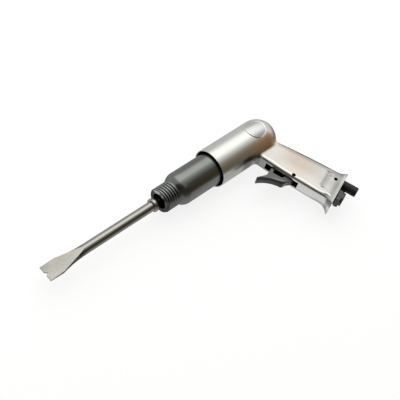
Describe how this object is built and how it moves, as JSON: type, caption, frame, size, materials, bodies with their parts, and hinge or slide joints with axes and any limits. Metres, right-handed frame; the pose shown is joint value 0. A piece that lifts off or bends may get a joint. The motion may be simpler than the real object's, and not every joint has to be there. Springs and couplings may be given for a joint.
{
  "type": "air hammer",
  "caption": "Pistol-grip air hammer on its side: sleeve-and-dome housing, threaded-nose barrel, flat chisel, sprung trigger, hexagon inlet bushing and turning air regulator.",
  "frame": {"origin": "on the barrel's axis, at the middle of the nose thread", "axes": "+X along the barrel to the rear, +Y up the tool away from the grip, +Z out of the tool's left side, which lies uppermost"},
  "size_m": [0.3282, 0.1362, 0.043],
  "materials": {
    "cast_aluminium": "polished and satin cast aluminium",
    "dark_steel": "black oxide satin steel",
    "tool_steel": "nickel-toned forged steel",
    "trigger_black": "black satin",
    "fitting_black": "black oxide",
    "bright_steel": "ground steel",
    "seal_rubber": "matt rubber",
    "gasket_grey": "matt sheet gasket",
    "brass": "turned brass",
    "spring_steel": "spring steel"
  },
  "bodies": {
    "tool": {"housing": "cast_aluminium", "barrel": "dark_steel", "trigger_pin": "dark_steel", "regulator_pin": "dark_steel", "inlet_bushing": "fitting_black", "inlet_seal": "seal_rubber", "barrel_gasket": "gasket_grey", "front_valve_block": "bright_steel", "rear_valve_block": "bright_steel", "valve_dowels": "bright_steel", "throttle_bushing": "brass", "bushing_seal": "seal_rubber", "throttle_spring": "spring_steel", "inlet_screen": "brass"},
    "chisel": {"chisel": "tool_steel"},
    "piston": {"piston": "bright_steel"},
    "valve_disc": {"valve_disc": "bright_steel"},
    "trigger": {"trigger": "trigger_black"},
    "throttle": {"throttle_stem": "brass", "throttle_seal": "seal_rubber"},
    "regulator": {"regulator": "fitting_black", "regulator_seal": "seal_rubber"}
  },
  "joints": [
    {"name": "chisel_slide", "type": "slide", "parent": "tool", "child": "chisel", "axis": [1, 0, 0], "range_m": [-0.02, 0.0092]},
    {"name": "piston_slide", "type": "slide", "parent": "tool", "child": "piston", "axis": [-1, 0, 0], "range_m": [0, 0.0366]},
    {"name": "disc_slide", "type": "slide", "parent": "tool", "child": "valve_disc", "axis": [1, 0, 0], "range_m": [0, 0.00115]},
    {"name": "trigger_pivot", "type": "hinge", "parent": "tool", "child": "trigger", "pos_m": [0.12648, -0.06001, 0], "axis": [0, 0, -1], "range_deg": [0, 10], "stiffness_Nm_per_rad": 0.4, "springref_deg": -8.59},
    {"name": "stem_slide", "type": "slide", "parent": "tool", "child": "throttle", "axis": [0.9426, 0.3338, 0], "range_m": [0, 0.0041], "deforming": ["throttle_spring"]},
    {"name": "regulator_turn", "type": "hinge", "parent": "tool", "child": "regulator", "pos_m": [0.16825, -0.09709, 0], "axis": [0.3338, -0.9426, 0], "continuous": true}
  ],
  "couplings": [
    {"joint": "stem_slide", "follows": "trigger_pivot", "m_per_rad": 0.0222}
  ]
}
